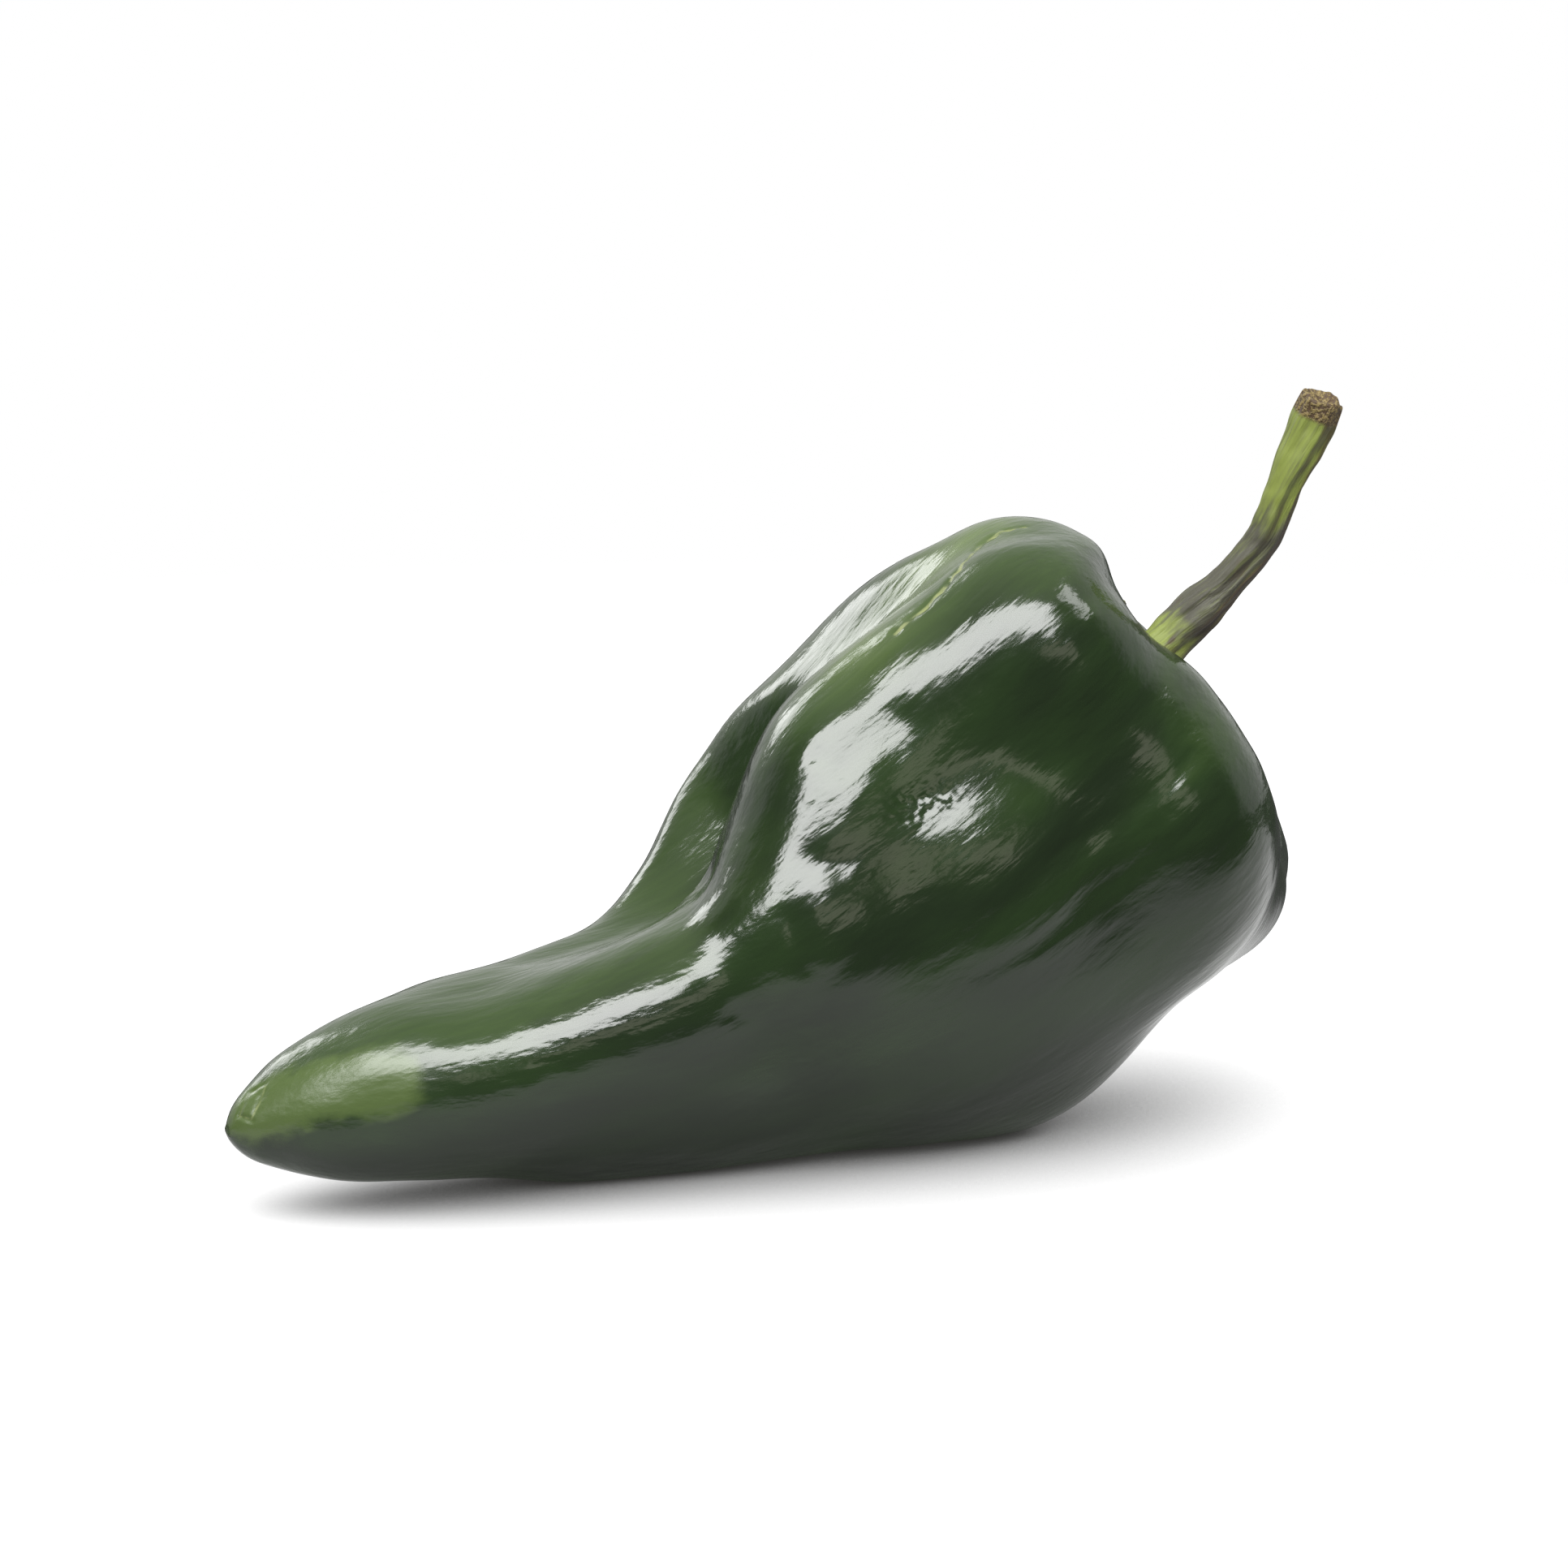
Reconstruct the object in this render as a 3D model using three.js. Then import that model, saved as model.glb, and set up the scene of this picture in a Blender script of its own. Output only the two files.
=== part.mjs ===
// A poblano pepper as picked, lying on its side on a flat surface. The fruit is one solid: a round
// pointed tip, a waist with a deep fold between two crests, and a broad lobed shoulder. The green cap
// (calyx) and the stalk are one piece too, and the cap sits in the dimple of the shoulder.
// Millimetres, +Z up, +X from the tip to the stalk end, +Y to the left when looking along +X.
import * as THREE from "three";

// Driving dimensions
const FIT_GAP = 0.35; // between the cap and the fruit that it sits on
const SKIN_BLEND = 6; // how softly neighbouring lobes run into each other
const HOLLOW_BLEND = 4; // how softly a hollow is carved in

// Each lobe of the fruit is a strand of beads, [x, y, z, radius], that its flesh wraps.
const LOBES = {
  core: [
    [-73.2, 0, 10.2, 1.3],
    [-69, 0, 10.8, 4.8],
    [-62, 0, 12.1, 8.2],
    [-51.5, 0, 13.3, 11],
    [-41, 0, 12.8, 11.6],
    [-29, 0, 13.9, 12.8],
    [-18, 0, 15.3, 14.2],
    [-7, 0, 18, 15.5],
    [4, 0, 24, 19],
    [15, 0, 30.5, 24],
    [23, 0, 36, 25.5],
    [29, 1, 40, 20.5],
  ],
  frontCrest: [
    [-59, -4, 12.5, 6.5],
    [-51, -6, 14.5, 7.5],
    [-41, -8, 16, 8.5],
    [-31, -9, 19, 9],
    [-22, -10, 21.5, 9.5],
    [-13.1, -10.1, 25.8, 9],
    [-4.8, -10.5, 33, 10],
    [1.4, -8.8, 42.5, 11],
    [4.2, -6.8, 48, 11.3],
    [11, -6.2, 52.7, 11.6],
    [19.6, -7.1, 58.3, 12],
    [27.3, -7.6, 64, 11],
  ],
  backCrest: [
    [-42, 5, 16.5, 8],
    [-25.5, 8, 18, 8.5],
    [-13, 12, 22, 8.5],
    [-2, 16, 32, 8.5],
    [4.5, 18, 41, 9],
    [14.5, 16, 50, 9.8],
    [24, 12, 59.3, 10.8],
    [30.5, 5, 66, 9.3],
  ],
  belly: [
    [-29, 0, 11.4, 10.8],
    [-18, -1.5, 11.4, 10.8],
    [-7, -2.5, 11, 10.8],
    [4.5, -2, 11, 11.2],
    [15.5, -2, 11, 11.4],
    [31, -3, 11, 10.8],
    [45, -1, 23.8, 12],
  ],
  frontFlank: [
    [-1.2, -10.3, 29.3, 12.5],
    [8, -6, 20, 14],
    [21.7, -5.8, 17.9, 14],
    [33.3, -8.7, 24.1, 13.5],
    [43, -10.1, 30.7, 13.5],
  ],
  backBelly: [
    [-25, 6, 11.5, 10.5],
    [0, 9, 12, 11.5],
    [22, 11, 13, 12.5],
    [44, 12, 24, 12],
  ],
  backFlank: [
    [-8, 7, 18, 12],
    [12, 10, 26, 18],
    [30, 13, 30, 18],
    [48, 15, 31, 14],
    [62, 15, 28, 10],
  ],
  backShoulder: [
    [8, 10, 36, 15],
    [22, 13, 43, 16],
    [36, 16, 44, 15],
    [47, 18, 40, 13.5],
  ],
};
// The shoulder's rim is a closed strand round the dimple that the stalk grows from.
const SHOULDER_RIM = [
  [35.6, 2, 68.6, 7.8],
  [35.4, -6, 68, 8],
  [30.5, -11, 62.5, 11.5],
  [36, -9.5, 52.8, 14],
  [41, -11, 48.2, 14.3],
  [45.6, -14, 40, 14],
  [58.5, 3, 27, 10.8],
  [70.2, 15.5, 27, 9.3],
  [58, 21, 42, 12.5],
  [43, 13, 58, 11],
];
// Hollows carved into the flesh: the dimple that the cap sits in, the deep fold at the waist, the knee
// where the crest meets the tip's ridge, and the notches between the lobes of the shoulder.
const HOLLOWS = {
  dimple: [
    [58.2, 2.5, 61.6, 11],
    [65.5, 2.5, 66.8, 12],
  ],
  waist: [
    [-33, 4, 30, 2],
    [-20, 6, 32.5, 4],
    [-8, 8, 36, 5],
    [-1.5, 8, 43.5, 5],
    [3, 8, 53.5, 3],
  ],
  knee: [
    [-12, -2, 37, 1.6],
    [-17, -8, 36, 1.6],
    [-22, -14, 34.5, 1],
  ],
  topNotch: [
    [50, -4, 66, 3],
    [44.5, -10, 71.5, 3.5],
    [37, -20, 74, 3.5],
    [29, -26, 74, 3],
  ],
  lowNotch: [
    [70, 6, 42, 1.5],
    [76.5, 8.5, 32, 2.4],
    [77.5, 8.5, 22, 2.4],
    [71, 8.5, 12, 1.5],
  ],
};

// The line inside the fruit that its sections are square to, [x, z], in the plane of symmetry.
const SPINE = [
  [-66, 11],
  [-45, 12.5],
  [-25, 14.5],
  [-7, 20],
  [8, 28.5],
  [18, 34],
  [26, 40],
];
const AROUND = 62; // vertices round a section of the fruit
const ALONG = { tip: 8, body: 30, shoulder: 32 }; // rows of vertices over each stretch

// The stalk leaves the middle of the cap and curves up to its cut end: [x, y, z, radius].
const STALK = [
  [51.2, 2.3, 56.7, 3.9],
  [53, 2.2, 58.3, 2.95],
  [54.9, 2, 60.2, 2.7],
  [59, 1, 64.2, 2.85],
  [61.4, 0, 66.8, 2.15],
  [66, -1, 72.3, 2.25],
  [67.8, -2, 77.8, 2.2],
  [69.2, -3, 82.1, 2.5],
  [71.1, -4, 86.9, 2.75],
  [72, -5, 90.2, 2.7],
];
const STALK_TWIST = 1.7; // radians that its ridges turn through from base to end
const STALK_RIDGE = 0.07; // height of a ridge as a share of the radius
const STALK_LUMP = 0.03; // height of its slow lumps, likewise
// The cut end: rings that close it, [share of the radius, rise], and the depth of its pith.
const CUT_END = [
  [0.93, 0.45],
  [0.7, 0.35],
  [0.4, -0.35],
];
const PITH_DEPTH = 0.8;
// The cap: a thin six-toothed disc that follows the dimple, seen from a point inside the shoulder.
const CAP = {
  centre: [32.9, 2.3, 43.6],
  slope: 0.62, // rise of its axis over the horizontal, radians
  reach: 0.3, // angle from the axis to the margin between two teeth, radians
  toothReach: 0.04, // how much further a tooth goes, radians
  teeth: 6,
  thickness: 1,
  rib: 0.45, // height of the rib along a tooth
  swell: 1.8, // how much thicker it is where the stalk leaves it
  lip: 1.03, // how far its rounded edge stands out, as a share of the margin's angle
  foot: 0.6, // where the stalk's foot meets it, likewise
};
const CAP_ROWS = { under: 7, over: 7 };
const STALK_ROWS = 34;
const STALK_AROUND = 42;

// Distance from a point to a strand of beads, negative inside.
function strand(beads, closed = false) {
  const { centres, radii } = beadCurves(beads, closed);
  const steps = 6 * beads.length;
  const path = [];
  for (let i = 0; i <= steps; i++) {
    path.push({ c: centres.getPoint(i / steps), r: radii.getPoint(i / steps).x });
  }
  return (p) => {
    let nearest = Infinity;
    for (let i = 0; i < steps; i++) {
      const a = path[i].c;
      const b = path[i + 1].c;
      const [bx, by, bz] = [b.x - a.x, b.y - a.y, b.z - a.z];
      const [px, py, pz] = [p.x - a.x, p.y - a.y, p.z - a.z];
      const t = Math.min(1, Math.max(0, (px * bx + py * by + pz * bz) / (bx * bx + by * by + bz * bz)));
      const d = Math.hypot(px - t * bx, py - t * by, pz - t * bz);
      nearest = Math.min(nearest, d - path[i].r - t * (path[i + 1].r - path[i].r));
    }
    return nearest;
  };
}

// Smooth curves through the beads' centres and, as x, through their radii.
function beadCurves(beads, closed = false) {
  const through = (points) => new THREE.CatmullRomCurve3(points, closed);
  return {
    centres: through(beads.map(([x, y, z]) => new THREE.Vector3(x, y, z))),
    radii: through(beads.map(([, , , r], i) => new THREE.Vector3(r, 10 * i, 0))),
  };
}

// The two ways in which one distance runs softly into another.
function softUnion(a, b, width) {
  const h = Math.max(width - Math.abs(a - b), 0) / width;
  return Math.min(a, b) - (h * h * width) / 4;
}

function softCarve(a, b, width) {
  return -softUnion(-a, b, width);
}

const lobes = Object.values(LOBES).map((beads) => strand(beads));
const shoulderRim = strand(SHOULDER_RIM, true);
const hollows = Object.values(HOLLOWS).map((beads) => strand(beads));

function fruitDistance(p) {
  const flesh = lobes.reduce((d, lobe) => softUnion(d, lobe(p), SKIN_BLEND), shoulderRim(p));
  return hollows.reduce((d, hollow) => softCarve(d, hollow(p), HOLLOW_BLEND), flesh);
}

// Where a ray from inside the fruit reaches a given height over its skin.
function skinPoint(origin, direction, height = 0) {
  const p = origin.clone();
  for (let i = 0; i < 80; i++) {
    const d = fruitDistance(p) - height;
    if (d > -1e-3) break;
    p.addScaledVector(direction, -0.8 * d);
  }
  return p;
}

// A direction that leans away from a forward one, turned round it from straight up.
function leaning(forward, lean, turn) {
  const upward = new THREE.Vector3(-forward.z, 0, forward.x);
  return upward
    .multiplyScalar(Math.cos(turn))
    .add(new THREE.Vector3(0, -Math.sin(turn), 0))
    .multiplyScalar(Math.sin(lean))
    .addScaledVector(forward, Math.cos(lean))
    .normalize();
}

// The turns of the vertices of one ring.
function turns(count) {
  return Array.from({ length: count }, (_, j) => (2 * Math.PI * j) / count);
}

// A closed mesh from rings of points, each pole a single point.
function closedMesh(firstPole, rings, lastPole) {
  const points = [firstPole, ...rings.flat(), lastPole];
  const n = rings[0].length;
  const last = points.length - 1;
  const index = [];
  for (let j = 0; j < n; j++) {
    const k = (j + 1) % n;
    index.push(0, 1 + k, 1 + j);
    for (let i = 0; i + 1 < rings.length; i++) {
      const a = 1 + i * n;
      index.push(a + j, a + k, a + n + k, a + j, a + n + k, a + n + j);
    }
    index.push(last - n + j, last - n + k, last);
  }
  const geometry = new THREE.BufferGeometry().setFromPoints(points);
  geometry.setIndex(index);
  geometry.computeVertexNormals();
  return geometry;
}

// The rows of vertices from the tip's pole to the shoulder's, [part of the spine, lean]: first a
// fan round the tip, then sections square to the spine, then a fan over the shoulder.
function fruitRows() {
  const quarter = Math.PI / 2;
  const rows = [];
  for (let i = 0; i < ALONG.tip; i++) rows.push([0, 2 * quarter - (quarter * i) / ALONG.tip]);
  for (let i = 0; i < ALONG.body; i++) rows.push([i / ALONG.body, quarter]);
  for (let i = 0; i <= ALONG.shoulder; i++) rows.push([1, quarter * (1 - i / ALONG.shoulder)]);
  return rows;
}

function fruitGeometry() {
  const spine = new THREE.CatmullRomCurve3(SPINE.map(([x, z]) => new THREE.Vector3(x, 0, z)));
  const onSkin = ([along, lean], turn) => {
    const origin = spine.getPointAt(along);
    const p = skinPoint(origin, leaning(spine.getTangentAt(along), lean, turn));
    if (p.z < 0) p.lerp(origin, -p.z / (origin.z - p.z)); // the spot that it rests on is flat
    return p;
  };
  const rows = fruitRows();
  const rings = rows.slice(1, -1).map((row) => turns(AROUND).map((turn) => onSkin(row, turn)));
  return closedMesh(onSkin(rows[0], 0), rings, onSkin(rows[rows.length - 1], 0));
}

// One point of the cap: share is 0 on the axis and 1 at the margin, rise is 0 below and 1 on top.
function capPoint(share, rise, turn) {
  const ridge = 0.5 + 0.5 * Math.cos(CAP.teeth * turn);
  const lean = share * (CAP.reach + CAP.toothReach * ridge ** 1.5);
  const forward = new THREE.Vector3(Math.cos(CAP.slope), 0, Math.sin(CAP.slope));
  const depth = CAP.thickness + CAP.rib * ridge + CAP.swell * (1 - share) ** 2;
  return skinPoint(new THREE.Vector3(...CAP.centre), leaning(forward, lean, turn), FIT_GAP + rise * depth);
}

function capRings() {
  const { under, over } = CAP_ROWS;
  const rings = [];
  for (let i = 1; i <= under; i++) rings.push([i / under, 0]);
  rings.push([CAP.lip, 0.5]);
  for (let i = 0; i < over; i++) rings.push([1 - ((1 - CAP.foot) * (i + 0.3)) / (over - 0.7), 1]);
  return rings.map(([share, rise]) => turns(STALK_AROUND).map((turn) => capPoint(share, rise, turn)));
}

// The stalk's rings follow its route without turning, so its ridges twist by a formula alone.
function stalkRings() {
  const { centres, radii } = beadCurves(STALK);
  const side = new THREE.Vector3(0, -1, 0);
  const ringAt = (t, scale, rise) => {
    const forward = centres.getTangent(t);
    side.addScaledVector(forward, -side.dot(forward)).normalize();
    const upward = new THREE.Vector3().crossVectors(side, forward);
    return turns(STALK_AROUND).map((turn) => {
      const ridge = Math.cos(CAP.teeth * (turn - STALK_TWIST * t));
      const lump = Math.cos(2 * turn + 9 * t) + Math.cos(3 * turn - 14 * t);
      const r = scale * radii.getPoint(t).x * (1 + STALK_RIDGE * ridge + STALK_LUMP * lump);
      return centres
        .getPoint(t)
        .addScaledVector(upward, r * Math.cos(turn))
        .addScaledVector(side, r * Math.sin(turn))
        .addScaledVector(forward, rise * (1 + 0.4 * Math.cos(3 * turn + 1)));
    });
  };
  const rings = [];
  for (let i = 1; i <= STALK_ROWS; i++) rings.push(ringAt(i / STALK_ROWS, 1, 0));
  CUT_END.forEach(([scale, rise]) => rings.push(ringAt(1, scale, rise)));
  return rings;
}

function stemGeometry() {
  const firstPole = capPoint(0, 0, 0);
  const { centres } = beadCurves(STALK);
  const lastPole = centres.getPoint(1).addScaledVector(centres.getTangent(1), -PITH_DEPTH);
  return closedMesh(firstPole, [...capRings(), ...stalkRings()], lastPole);
}

function piece(name, geometry, color, roughness) {
  const material = new THREE.MeshStandardMaterial({ color, roughness, metalness: 0 });
  const mesh = new THREE.Mesh(geometry, material);
  mesh.name = name;
  return mesh;
}

const pepper = new THREE.Group();
pepper.add(piece("fruit", fruitGeometry(), 0x1f3a17, 0.2));
pepper.add(piece("stem", stemGeometry(), 0x5e6f38, 0.6));

// The origin is under the middle of the whole pepper, on the surface that it lies on.
const middle = new THREE.Box3().setFromObject(pepper).getCenter(new THREE.Vector3());
pepper.position.set(-middle.x, -middle.y, 0);

export default pepper;
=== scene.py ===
"""A whole poblano pepper lying on its side, dressed for close views.

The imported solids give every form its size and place. The skin and the stalk are fine meshes grown
from copies of those solids, so they stay on them, and each gets its own dents, creases and finish.
Places on the pepper are in the millimetres of the solids' own drawing.
"""

import logging
import math
from dataclasses import dataclass
from enum import Enum
from typing import Mapping, Optional, Sequence, Union

import bmesh
import bpy
import numpy as np
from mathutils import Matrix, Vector, noise
from mathutils.bvhtree import BVHTree


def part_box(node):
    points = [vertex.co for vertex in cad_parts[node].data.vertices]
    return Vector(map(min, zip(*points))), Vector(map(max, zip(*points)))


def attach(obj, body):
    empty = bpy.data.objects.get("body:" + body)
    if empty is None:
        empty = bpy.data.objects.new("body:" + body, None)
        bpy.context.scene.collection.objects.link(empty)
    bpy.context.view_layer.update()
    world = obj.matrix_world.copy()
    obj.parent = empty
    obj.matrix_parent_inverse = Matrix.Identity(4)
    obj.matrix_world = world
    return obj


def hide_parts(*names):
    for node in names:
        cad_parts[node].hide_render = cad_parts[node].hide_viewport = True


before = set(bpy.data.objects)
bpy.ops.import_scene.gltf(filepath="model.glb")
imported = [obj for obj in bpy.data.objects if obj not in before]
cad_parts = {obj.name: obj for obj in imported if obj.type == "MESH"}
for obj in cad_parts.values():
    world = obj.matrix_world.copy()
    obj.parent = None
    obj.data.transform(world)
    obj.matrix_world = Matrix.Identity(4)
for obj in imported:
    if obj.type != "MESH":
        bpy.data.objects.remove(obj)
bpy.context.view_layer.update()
LOG = logging.getLogger("pepper")

Point = tuple[float, float, float]
Colour = tuple[float, float, float]
# Where something starts to show, and where it shows in full.
Edge = tuple[float, float]

MM = 0.001
MERGE_DISTANCE = 1e-7
# What a squared length counts as at least, so that a line of no length can be measured from.
SMALLEST_SQUARE = 1e-9
# How the grains of a mark vary its depth, as shares of it: their middle, their swing and their most.
GRAIN_MIDDLE = 0.6
GRAIN_SWING = 1.2
GRAIN_MOST = 1.6
# Shifts, in millimetres, that make three noises out of one.
NOISE_SHIFTS = (0, 40, 80)
# Where the fruit's solid starts along x and ends along y, in the millimetres that it is drawn in.
DRAWN_TIP = -74.48
DRAWN_BACK = 33.43


class Wire:
    """A value in a node tree. Arithmetic on it adds Math nodes."""

    def __init__(self, graph: "Graph", socket: Optional[bpy.types.NodeSocket]) -> None:
        """Holds the output socket that the value comes from."""
        self.graph = graph
        self.socket = socket

    def _math(self, operation: str, first: "Value", second: "Value") -> "Wire":
        """Adds one Math node."""
        return self.graph.node("ShaderNodeMath", {"operation": operation}, {0: first, 1: second})

    def __add__(self, other: "Value") -> "Wire":
        """Sum."""
        return self._math("ADD", self, other)

    def __radd__(self, other: "Value") -> "Wire":
        """Sum, with the number first."""
        return self._math("ADD", other, self)

    def __sub__(self, other: "Value") -> "Wire":
        """Difference."""
        return self._math("SUBTRACT", self, other)

    def __rsub__(self, other: "Value") -> "Wire":
        """Difference, with the number first."""
        return self._math("SUBTRACT", other, self)

    def __mul__(self, other: "Value") -> "Wire":
        """Product."""
        return self._math("MULTIPLY", self, other)

    def __rmul__(self, other: "Value") -> "Wire":
        """Product, with the number first."""
        return self._math("MULTIPLY", other, self)


Value = Union[Wire, float]


@dataclass(frozen=True)
class Layer:
    """One layer of noise in a finish.

    Attributes:
        waves: The lengths of its waves along, aside from and above the growth line, in millimetres.
        detail: How many finer noises it carries.
        height: How high it stands in the relief, in millimetres.
    """

    waves: Point
    detail: float
    height: float = 0.0


class Graph:
    """Builds one node tree, a material's or the world's."""

    def __init__(self, tree: bpy.types.NodeTree) -> None:
        """Empties the tree that is to be built."""
        tree.nodes.clear()
        self.tree = tree

    def node(
        self,
        kind: str,
        settings: Optional[Mapping[str, object]] = None,
        inputs: Optional[Mapping[Union[int, str], object]] = None,
        output: int = 0,
    ) -> Wire:
        """Adds any node.

        Args:
            kind: The node's type.
            settings: Its own properties, which are set first.
            inputs: Values or wires for its input sockets, by name or number.
            output: The number of the output socket to return.

        Returns:
            The wire that leaves the node.
        """
        made = self.tree.nodes.new(kind)
        for name, value in (settings or {}).items():
            setattr(made, name, value)
        for key, value in (inputs or {}).items():
            if isinstance(value, Wire):
                self.tree.links.new(value.socket, made.inputs[key])
            else:
                made.inputs[key].default_value = value
        return Wire(self, made.outputs[output] if made.outputs else None)

    def attribute(self, name: str, output: int = 2) -> Wire:
        """Reads a number that the mesh holds, or with output 1 a vector."""
        return self.node("ShaderNodeAttribute", {"attribute_name": name}, output=output)

    def scaled(self, vector: Wire, scale: Point) -> Wire:
        """Multiplies a vector by three numbers."""
        return self.node("ShaderNodeVectorMath", {"operation": "MULTIPLY"}, {0: vector, 1: scale})

    def noise(self, vector: Wire, layer: Layer) -> Wire:
        """A layer's noise, from 0 to 1, at a place in millimetres."""
        place = self.scaled(vector, tuple(1 / wave for wave in layer.waves))
        inputs = {"Vector": place, "Scale": 1.0, "Detail": layer.detail}
        return self.node("ShaderNodeTexNoise", None, inputs)

    def larger(self, first: Wire, second: Wire) -> Wire:
        """The larger of two values."""
        return self.node("ShaderNodeMath", {"operation": "MAXIMUM"}, {0: first, 1: second})

    def step(self, value: Wire, low: float, high: float) -> Wire:
        """Rises softly from 0 at low to 1 at high, or falls where low is the larger."""
        inputs = {0: value, 1: low, 2: high}
        return self.node("ShaderNodeMapRange", {"interpolation_type": "SMOOTHSTEP"}, inputs)

    def mix(self, factor: Value, first: Union[Wire, Colour], second: Union[Wire, Colour]) -> Wire:
        """Blends two colours, from the first at factor 0 to the second at 1."""
        ends = [end if isinstance(end, Wire) else (*end, 1.0) for end in (first, second)]
        inputs = {0: factor, 6: ends[0], 7: ends[1]}
        return self.node("ShaderNodeMix", {"data_type": "RGBA"}, inputs, output=2)

    def surface(self, colour: Wire, roughness: Wire, refraction: float, relief: Wire) -> None:
        """Ends a material.

        Args:
            colour: Its colour.
            roughness: Its roughness.
            refraction: Its index of refraction.
            relief: Its fine relief, in millimetres.
        """
        inputs = {
            "Base Color": colour,
            "Roughness": roughness,
            "IOR": refraction,
            "Normal": self.node("ShaderNodeBump", None, {"Distance": MM, "Height": relief}),
        }
        shader = self.node("ShaderNodeBsdfPrincipled", None, inputs)
        self.node("ShaderNodeOutputMaterial", None, {"Surface": shader})


def new_material(name: str) -> tuple[bpy.types.Material, Graph]:
    """Makes an empty material.

    Args:
        name: The material's name.

    Returns:
        The material, and the graph that fills it.
    """
    material = bpy.data.materials.new(name)
    material.use_nodes = True
    return material, Graph(material.node_tree)


class Drawing:
    """Turns places in the millimetres of the solids' drawing into the frame's metres, and back."""

    def __init__(self) -> None:
        """Finds the drawing's zero point in the frame."""
        low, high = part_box("fruit")
        self.origin = np.array([low.x - MM * DRAWN_TIP, high.y - MM * DRAWN_BACK, 0.0])

    def metres(self, places: np.ndarray) -> np.ndarray:
        """The frame's metres for places in the drawing."""
        return self.origin + MM * np.asarray(places, float)

    def millimetres(self, places: np.ndarray) -> np.ndarray:
        """The drawing's millimetres for places in the frame."""
        return (np.asarray(places, float) - self.origin) / MM


class Line:
    """A line through points, or a single point, that places are measured from."""

    def __init__(self, points: Sequence[Point]) -> None:
        """Takes the points in order, in millimetres."""
        self.points = np.array(points, float).reshape(-1, 3)

    def distance(self, places: np.ndarray) -> np.ndarray:
        """How far each place is from the line."""
        nearest = np.linalg.norm(places - self.points[0], axis=1)
        for start, end in zip(self.points, self.points[1:]):
            step = end - start
            share = np.clip((places - start) @ step / max(step @ step, SMALLEST_SQUARE), 0, 1)
            nearest = np.minimum(nearest, np.linalg.norm(places - start - share[:, None] * step, axis=1))
        return nearest

    def nearness(self, places: np.ndarray, reach: float, power: float = 2.0) -> np.ndarray:
        """How near each place is: 1 on the line, and little beyond the reach."""
        return np.exp(-((self.distance(places) / reach) ** power))

    def settled(self, skin: BVHTree, drawing: Drawing, spacing: float = 0.6) -> "Line":
        """The same line laid on the skin.

        Args:
            skin: The surface, in the frame's metres.
            drawing: The drawing that the line's points belong to.
            spacing: The distance between the new line's points, in millimetres.

        Returns:
            A line whose points all lie on the skin.
        """
        places = [self.points[0]]
        for start, end in zip(self.points, self.points[1:]):
            count = max(1, round(float(np.linalg.norm(end - start)) / spacing))
            places += [start + (end - start) * (i + 1) / count for i in range(count)]
        found = [skin.find_nearest(Vector(drawing.metres(place)))[0] for place in places]
        return Line(drawing.millimetres(np.array(found)))


class GrowthLine:
    """The line that a piece grew along, which gives straightened places: along it, aside and above."""

    def __init__(self, points: Sequence[Point], softness: float, turn: float = 0.0) -> None:
        """Lays frames along the line.

        Args:
            points: The line's points, in millimetres.
            softness: How far the frames blend into each other, in millimetres.
            turn: How far the piece turned round the line from its start to its end, in radians.
        """
        self.softness = softness
        steps = 6
        ends = np.array(points, float)
        shares = (np.arange(steps) + 0.5) / steps
        spans = np.repeat(np.diff(ends, axis=0), steps, axis=0)
        self.centres = np.repeat(ends[:-1], steps, axis=0) + np.tile(shares, len(ends) - 1)[:, None] * spans
        pieces = np.linalg.norm(spans, axis=1) / steps
        self.lengths = np.cumsum(pieces) - pieces / 2
        self.length = float(pieces.sum())
        self.twist = turn / self.length
        self.forward = spans / np.linalg.norm(spans, axis=1)[:, None]
        aside = np.array([0.0, -1.0, 0.0]) + self.forward * self.forward[:, 1:2]
        self.aside = aside / np.linalg.norm(aside, axis=1)[:, None]
        self.above = np.cross(self.aside, self.forward)

    def straightened(self, places: np.ndarray) -> np.ndarray:
        """Places along, aside from and above the line, with its twist taken out, in millimetres."""
        gap = places[:, None, :] - self.centres[None, :, :]
        squared = (gap**2).sum(axis=2)
        weight = np.exp((squared.min(axis=1)[:, None] - squared) / self.softness**2)
        weight /= weight.sum(axis=1)[:, None]
        along = (weight * (self.lengths + (gap * self.forward).sum(axis=2))).sum(axis=1)
        aside = (weight * (gap * self.aside).sum(axis=2)).sum(axis=1)
        above = (weight * (gap * self.above).sum(axis=2)).sum(axis=1)
        turn = self.twist * along
        return np.stack(
            [
                along,
                aside * np.cos(turn) - above * np.sin(turn),
                aside * np.sin(turn) + above * np.cos(turn),
            ],
            axis=1,
        )


def noise_at(places: np.ndarray, waves: Union[float, Point]) -> np.ndarray:
    """Smooth noise between -1 and 1 at each place, with waves of a given length."""
    return np.array([noise.noise(Vector(place)) for place in places / np.asarray(waves)])


def undulation(places: np.ndarray, waves: Sequence[tuple[float, Point]]) -> np.ndarray:
    """Slow rise and fall at each place, from pairs of a height and the lengths of its waves."""
    return sum(height * noise_at(places, lengths) for height, lengths in waves)


class Profile(Enum):
    """How a mark's depth falls off beside its line."""

    CREASE = 1.0
    BOWL = 2.0


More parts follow.
